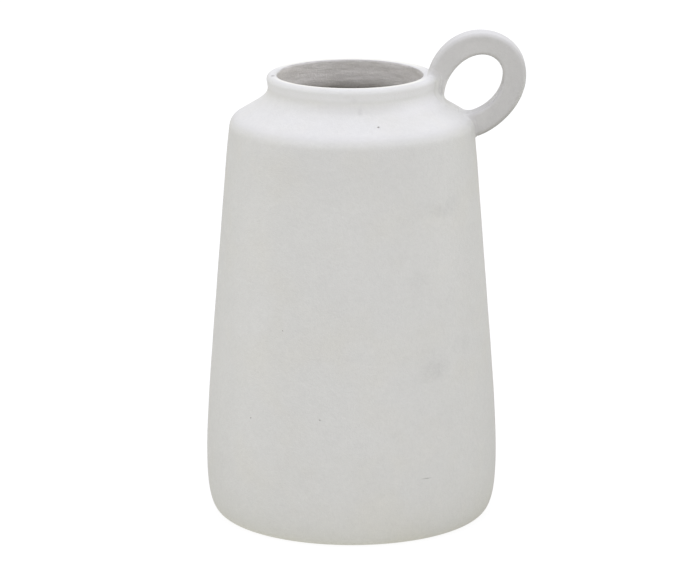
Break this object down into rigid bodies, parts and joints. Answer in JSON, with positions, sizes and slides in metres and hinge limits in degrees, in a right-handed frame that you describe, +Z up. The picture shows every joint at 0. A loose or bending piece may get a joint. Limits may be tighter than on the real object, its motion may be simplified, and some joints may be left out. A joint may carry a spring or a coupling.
{
  "type": "vase",
  "caption": "Matt white ceramic flower vase: tapering body, sloping shoulder, short neck with a rounded lip, and an inclined oval finger ring at the mouth.",
  "frame": {"origin": "middle of the flat base, on the vessel's axis", "axes": "+Z up along the vessel's axis, +X from the axis towards the finger ring, which lies in the XZ plane"},
  "size_m": [0.1635, 0.15, 0.2516],
  "materials": {
    "coated_clay": "matte",
    "joining_slip": "matte"
  },
  "bodies": {
    "root": {"vase_body": "coated_clay", "ring_handle": "coated_clay", "upper_luting_slip": "joining_slip", "lower_luting_slip": "joining_slip"}
  },
  "joints": []
}
